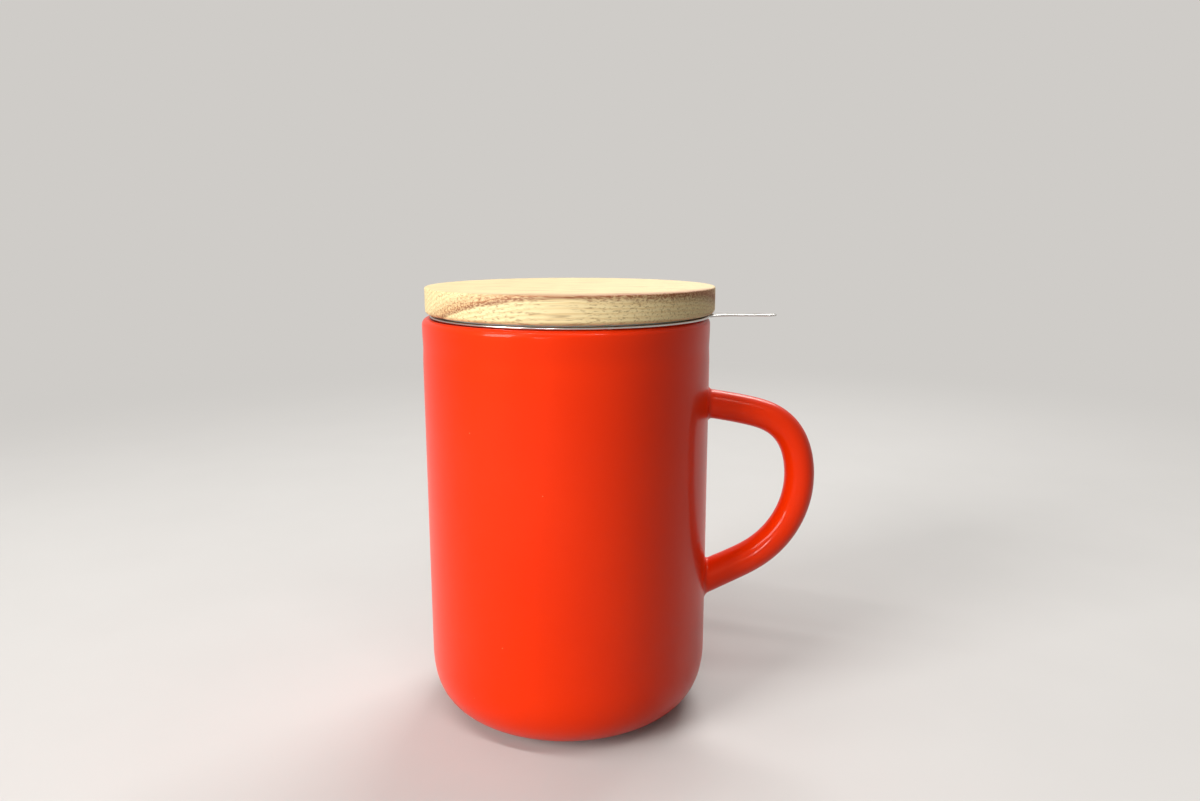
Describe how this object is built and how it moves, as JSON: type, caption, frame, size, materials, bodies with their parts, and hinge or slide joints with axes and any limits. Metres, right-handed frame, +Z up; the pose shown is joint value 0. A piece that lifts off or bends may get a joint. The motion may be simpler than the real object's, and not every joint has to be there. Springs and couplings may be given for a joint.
{
  "type": "lidded tea mug with infuser",
  "caption": "Tall straight-sided glazed mug with a D-shaped loop handle, a lift-out perforated steel infuser with a finger tab, and a flat wooden lift-off lid.",
  "frame": {"origin": "on the table, on the mug's axis, at the middle of the foot ring", "axes": "+Z up along the mug's axis, +X towards the handle and the infuser's finger tab"},
  "size_m": [0.1186, 0.0852, 0.1294],
  "materials": {
    "glazed_stoneware": "satin orange-red glaze",
    "stainless_pressed": "polished pressed sheet",
    "stainless_mesh": "perforated sheet",
    "lid_wood": "oiled pale hardwood, turned",
    "seal_silicone": "matt translucent silicone"
  },
  "bodies": {
    "mug": {"mug_shell": "glazed_stoneware", "mug_handle": "glazed_stoneware"},
    "infuser": {"infuser_collar": "stainless_pressed", "infuser_tab": "stainless_pressed", "infuser_wall": "stainless_mesh", "infuser_floor": "stainless_mesh", "infuser_hem": "stainless_pressed"},
    "lid": {"lid_disc": "lid_wood", "lid_plug": "lid_wood", "lid_seal": "seal_silicone"}
  },
  "joints": [
    {"name": "infuser_lift", "type": "slide", "parent": "mug", "child": "infuser", "axis": [0, 0, 1], "range_m": [0, 0.105]},
    {"name": "lid_lift", "type": "slide", "parent": "infuser", "child": "lid", "axis": [0, 0, 1], "range_m": [0, 0.05]}
  ]
}
